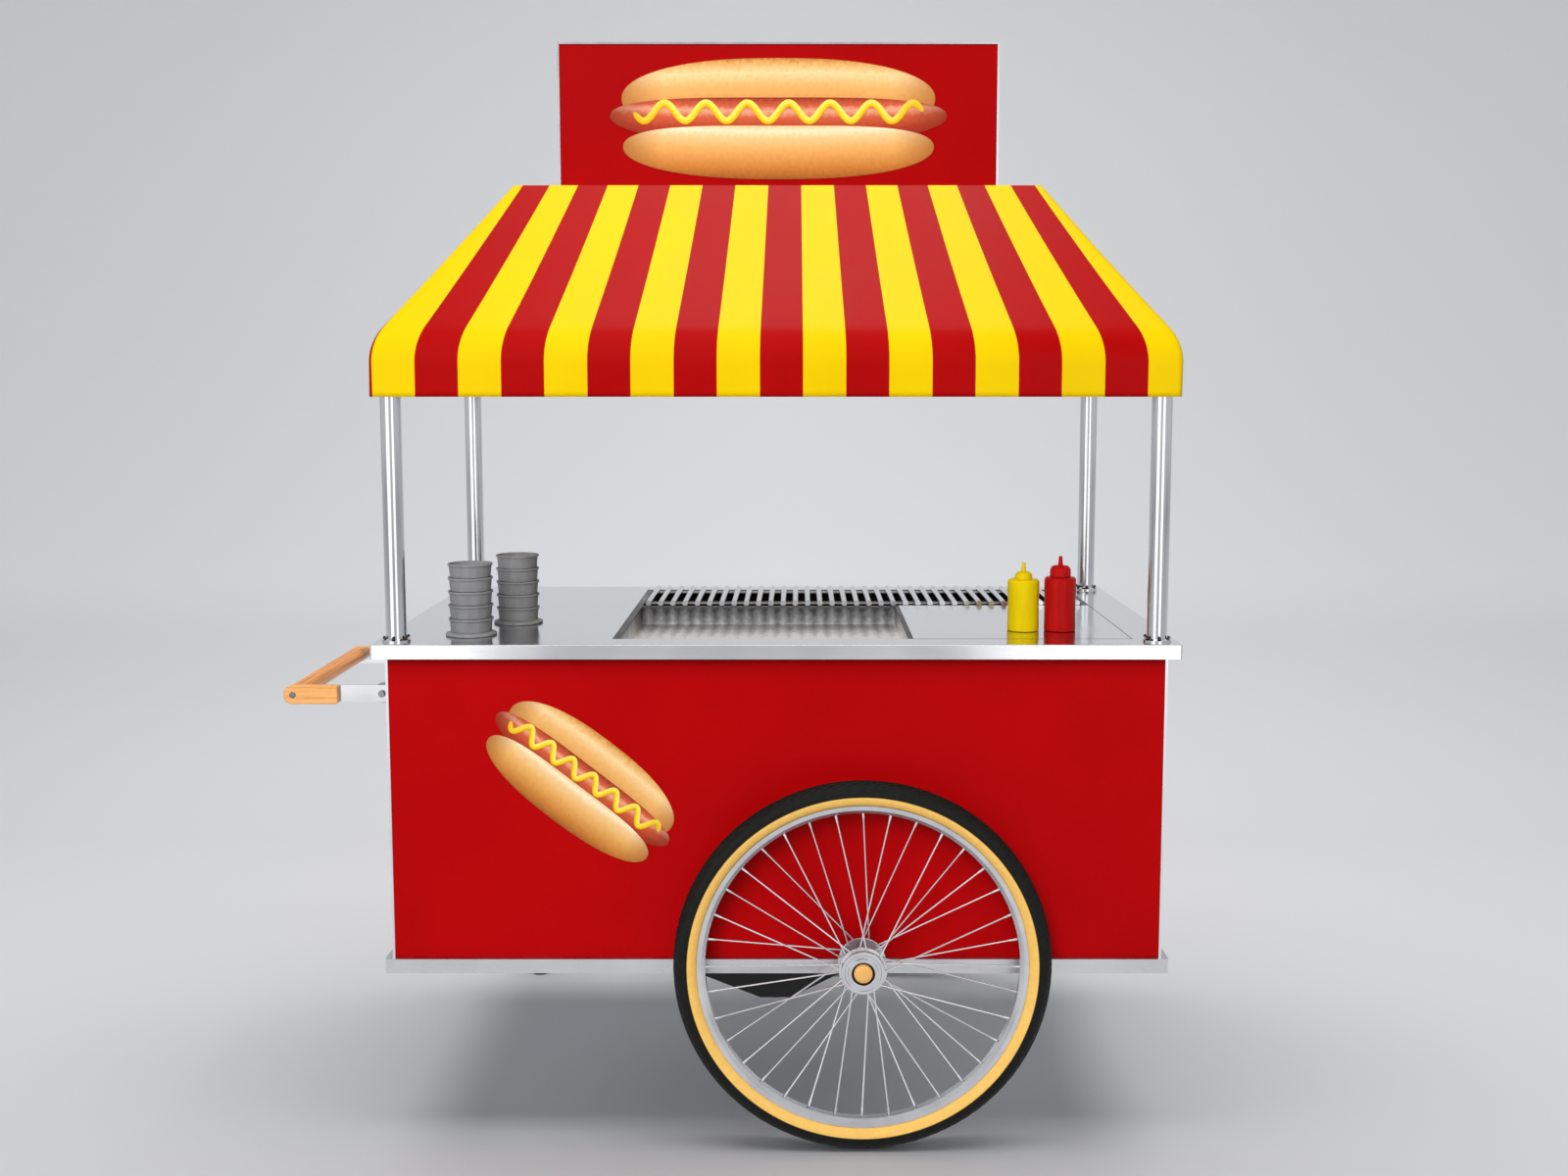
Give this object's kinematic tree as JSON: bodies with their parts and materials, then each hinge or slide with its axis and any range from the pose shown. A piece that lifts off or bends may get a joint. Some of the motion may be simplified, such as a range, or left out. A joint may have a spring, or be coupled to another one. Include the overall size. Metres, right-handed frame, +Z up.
{
  "type": "hot dog cart",
  "caption": "Street food push cart: steel counter with basin, grate and cover plate on a painted cabinet, spoked wheels, folding handle, striped hipped canopy and sign board.",
  "frame": {"origin": "on the ground, under the middle of the overall box", "axes": "+X along the counter away from the handle, -Y towards the customer, +Z up"},
  "size_m": [1.71, 1.002, 2.1035],
  "materials": {
    "polished_steel": "polished",
    "plain_steel": "satin",
    "grate_steel": "polished",
    "red_paint": "gloss",
    "black_paint": "satin",
    "iron": "matte",
    "brass": "satin",
    "copper": "satin",
    "bottle_paint": "gloss",
    "plywood": "matte",
    "tyre_rubber": "matte",
    "rim_aluminium": "polished",
    "spoke_chrome": "polished",
    "tan_plastic": "gloss",
    "varnished_wood": "varnished",
    "striped_cloth": "coated",
    "yellow_plastic": "gloss",
    "red_plastic": "gloss",
    "grey_plastic": "satin",
    "black_plastic": "matte",
    "foot_rubber": "matte"
  },
  "bodies": {
    "cart": {"counter_top": "polished_steel", "well_frame": "polished_steel", "drip_basin": "polished_steel", "bun_bin": "polished_steel", "canopy_posts": "polished_steel", "post_rings": "polished_steel", "base_tray": "polished_steel", "side_panels": "polished_steel", "cabinet_frame": "plain_steel", "door_hinge_fixed": "plain_steel", "axle": "plain_steel", "axle_blocks": "plain_steel", "axle_hardware": "plain_steel", "handle_brackets": "plain_steel", "handle_pivots": "plain_steel", "canopy_frame": "plain_steel", "leg_bracket": "plain_steel", "drain_pipe": "plain_steel", "front_panel": "red_paint", "rear_panel": "red_paint", "sign_board": "red_paint", "fire_box": "black_paint", "drain_sump": "black_paint", "burner": "iron", "gas_valve": "brass", "regulator": "brass", "gas_pipe": "copper", "gas_bottle": "bottle_paint", "floor_boards": "plywood", "sign_frame": "rim_aluminium", "canopy_cover": "striped_cloth"},
    "front_wheel": {"front_tyre": "tyre_rubber", "front_rim": "rim_aluminium", "front_spokes": "spoke_chrome", "front_hub": "rim_aluminium", "front_bearings": "plain_steel", "front_hub_cap": "tan_plastic"},
    "rear_wheel": {"rear_tyre": "tyre_rubber", "rear_rim": "rim_aluminium", "rear_spokes": "spoke_chrome", "rear_hub": "rim_aluminium", "rear_bearings": "plain_steel", "rear_hub_cap": "tan_plastic"},
    "handle": {"handle_arms": "polished_steel", "handle_cheeks": "varnished_wood", "handle_grip": "varnished_wood"},
    "plate": {"cover_plate": "polished_steel"},
    "mustard": {"mustard_bottle": "yellow_plastic", "mustard_cap": "yellow_plastic"},
    "ketchup": {"ketchup_bottle": "red_plastic", "ketchup_cap": "red_plastic"},
    "tubs_left": {"left_tubs": "grey_plastic"},
    "tubs_right": {"right_tubs": "grey_plastic"},
    "grate": {"grill_grate": "grate_steel"},
    "door": {"service_door": "red_paint", "door_pull": "polished_steel", "door_hinge_moving": "plain_steel"},
    "knob": {"control_knob": "black_plastic"},
    "leg": {"leg_tube": "plain_steel", "leg_foot": "foot_rubber"}
  },
  "joints": [
    {"name": "front_wheel_spin", "type": "hinge", "parent": "cart", "child": "front_wheel", "pos_m": [0.269, -0.452, 0.35], "axis": [0, 1, 0], "continuous": true},
    {"name": "rear_wheel_spin", "type": "hinge", "parent": "cart", "child": "rear_wheel", "pos_m": [0.269, 0.452, 0.35], "axis": [0, 1, 0], "continuous": true},
    {"name": "handle_fold", "type": "hinge", "parent": "cart", "child": "handle", "pos_m": [-0.665, 0, 0.817], "axis": [0, -1, 0], "range_deg": [0, 90]},
    {"name": "door_swing", "type": "hinge", "parent": "cart", "child": "door", "pos_m": [-0.5285, 0.4003, 0.65], "axis": [0, 0, 1], "range_deg": [0, 110]},
    {"name": "knob_turn", "type": "hinge", "parent": "cart", "child": "knob", "pos_m": [0.53, 0.395, 0.866], "axis": [0, 1, 0], "range_deg": [0, 90]},
    {"name": "leg_fold", "type": "hinge", "parent": "cart", "child": "leg", "pos_m": [-0.45, 0.452, 0.294], "axis": [0, -1, 0], "range_deg": [0, 80]},
    {"name": "plate_slide", "type": "slide", "parent": "cart", "child": "plate", "axis": [-1, 0, 0], "range_m": [0, 0.56]},
    {"name": "mustard_lift", "type": "slide", "parent": "plate", "child": "mustard", "axis": [0, 0, 1], "range_m": [0, 0.15]},
    {"name": "ketchup_lift", "type": "slide", "parent": "plate", "child": "ketchup", "axis": [0, 0, 1], "range_m": [0, 0.15]},
    {"name": "tubs_left_lift", "type": "slide", "parent": "cart", "child": "tubs_left", "axis": [0, 0, 1], "range_m": [0, 0.15]},
    {"name": "tubs_right_lift", "type": "slide", "parent": "cart", "child": "tubs_right", "axis": [0, 0, 1], "range_m": [0, 0.15]},
    {"name": "grate_lift", "type": "slide", "parent": "cart", "child": "grate", "axis": [0, 0, 1], "range_m": [0, 0.08]}
  ]
}
